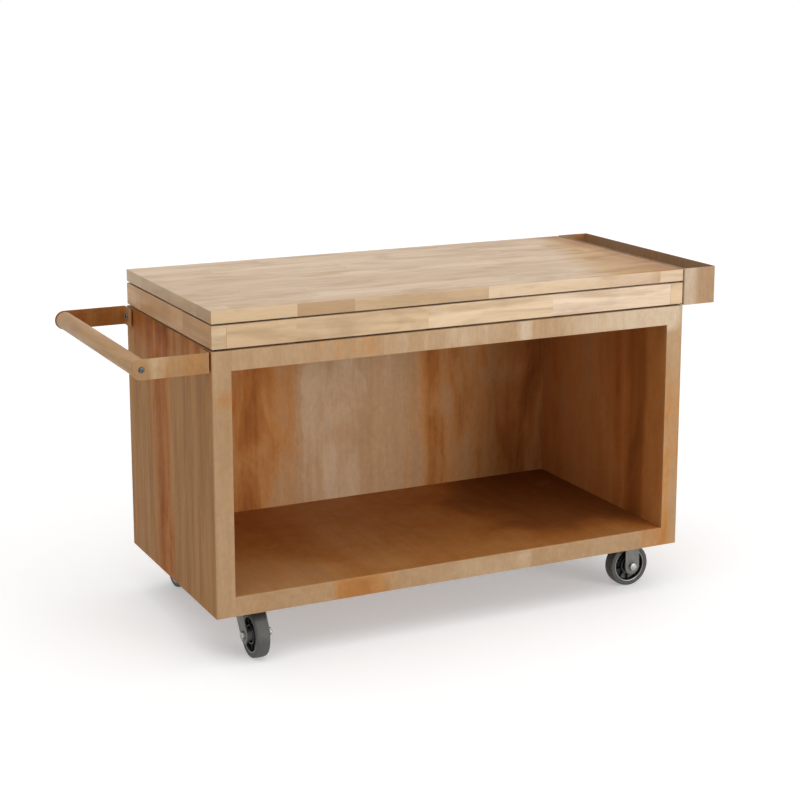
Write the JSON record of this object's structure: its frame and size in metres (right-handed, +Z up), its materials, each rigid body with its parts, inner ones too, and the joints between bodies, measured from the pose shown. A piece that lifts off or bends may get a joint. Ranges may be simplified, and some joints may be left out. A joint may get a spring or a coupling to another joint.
{
  "type": "prep table",
  "caption": "Rolling outdoor prep table: weathering-steel cabinet with an open bay, oiled wood worktop, push handle, planter trough and casters.",
  "frame": {"origin": "on the floor, under the middle of the overall box", "axes": "+X towards the planter trough, +Y towards the back, +Z up; the open bay faces -Y and the push handle is at -X"},
  "size_m": [1.65, 0.694, 0.9],
  "materials": {
    "weathering_steel": "rust patina, satin, with vertical streaks",
    "oiled_wood": "oiled butcher block with staves and finger joints",
    "bolt_steel": "bright plated steel",
    "zinc_steel": "grey zinc-plated pressed steel",
    "grey_rubber": "matt dark grey rubber",
    "wheel_centre": "dark grey satin casting",
    "brass": "plain turned"
  },
  "bodies": {
    "cabinet": {"side_panel_left": "weathering_steel", "side_panel_right": "weathering_steel", "top_panel": "weathering_steel", "floor_panel": "weathering_steel", "back_panel": "weathering_steel", "bay_liner_left": "weathering_steel", "bay_liner_right": "weathering_steel", "wall_stiffeners": "weathering_steel", "top_stiffeners": "weathering_steel", "floor_stiffener": "weathering_steel", "caster_rail_left": "weathering_steel", "caster_rail_right": "weathering_steel", "apron_front": "oiled_wood", "apron_back": "oiled_wood", "apron_left": "oiled_wood", "apron_right": "oiled_wood", "apron_dowels": "oiled_wood", "apron_battens": "oiled_wood", "worktop_board": "oiled_wood", "board_screws": "bolt_steel", "worktop_bolts": "bolt_steel", "planter_trough": "weathering_steel", "trough_bolts": "bolt_steel", "handle_strap_front": "weathering_steel", "handle_strap_back": "weathering_steel", "handle_bar": "oiled_wood", "handle_bar_bolts": "bolt_steel", "handle_side_bolts": "bolt_steel", "handle_backing_plates": "bolt_steel", "spacer_washers": "bolt_steel", "threaded_inserts": "brass", "caster_bolts": "bolt_steel", "caster_weld_nuts": "bolt_steel", "fixed_bracket_front": "zinc_steel", "fixed_bracket_back": "zinc_steel", "fixed_axle_bolts": "bolt_steel", "fixed_axle_sleeves": "bolt_steel", "swivel_plate_front": "zinc_steel", "swivel_plate_back": "zinc_steel", "kingpins": "bolt_steel"},
    "swivel_front_left": {"swivel_fork_front": "zinc_steel", "swivel_balls_front": "bolt_steel", "swivel_axle_bolt_front": "bolt_steel", "swivel_axle_sleeve_front": "bolt_steel"},
    "swivel_back_left": {"swivel_fork_back": "zinc_steel", "swivel_balls_back": "bolt_steel", "swivel_axle_bolt_back": "bolt_steel", "swivel_axle_sleeve_back": "bolt_steel"},
    "wheel_front_left": {"tyre_front_left": "grey_rubber", "wheel_centre_front_left": "wheel_centre", "wheel_bush_front_left": "brass"},
    "wheel_back_left": {"tyre_back_left": "grey_rubber", "wheel_centre_back_left": "wheel_centre", "wheel_bush_back_left": "brass"},
    "wheel_front_right": {"tyre_front_right": "grey_rubber", "wheel_centre_front_right": "wheel_centre", "wheel_bush_front_right": "brass"},
    "wheel_back_right": {"tyre_back_right": "grey_rubber", "wheel_centre_back_right": "wheel_centre", "wheel_bush_back_right": "brass"}
  },
  "joints": [
    {"name": "caster_front_left_swivel", "type": "hinge", "parent": "cabinet", "child": "swivel_front_left", "pos_m": [-0.51, -0.246, 0.13], "axis": [0, 0, 1], "continuous": true},
    {"name": "caster_back_left_swivel", "type": "hinge", "parent": "cabinet", "child": "swivel_back_left", "pos_m": [-0.51, 0.246, 0.13], "axis": [0, 0, 1], "continuous": true},
    {"name": "wheel_front_left_roll", "type": "hinge", "parent": "swivel_front_left", "child": "wheel_front_left", "pos_m": [-0.51, -0.287, 0.06], "axis": [1, 0, 0], "continuous": true},
    {"name": "wheel_back_left_roll", "type": "hinge", "parent": "swivel_back_left", "child": "wheel_back_left", "pos_m": [-0.51, 0.287, 0.06], "axis": [1, 0, 0], "continuous": true},
    {"name": "wheel_front_right_roll", "type": "hinge", "parent": "cabinet", "child": "wheel_front_right", "pos_m": [0.617, -0.246, 0.06], "axis": [0, 1, 0], "continuous": true},
    {"name": "wheel_back_right_roll", "type": "hinge", "parent": "cabinet", "child": "wheel_back_right", "pos_m": [0.617, 0.246, 0.06], "axis": [0, 1, 0], "continuous": true}
  ]
}
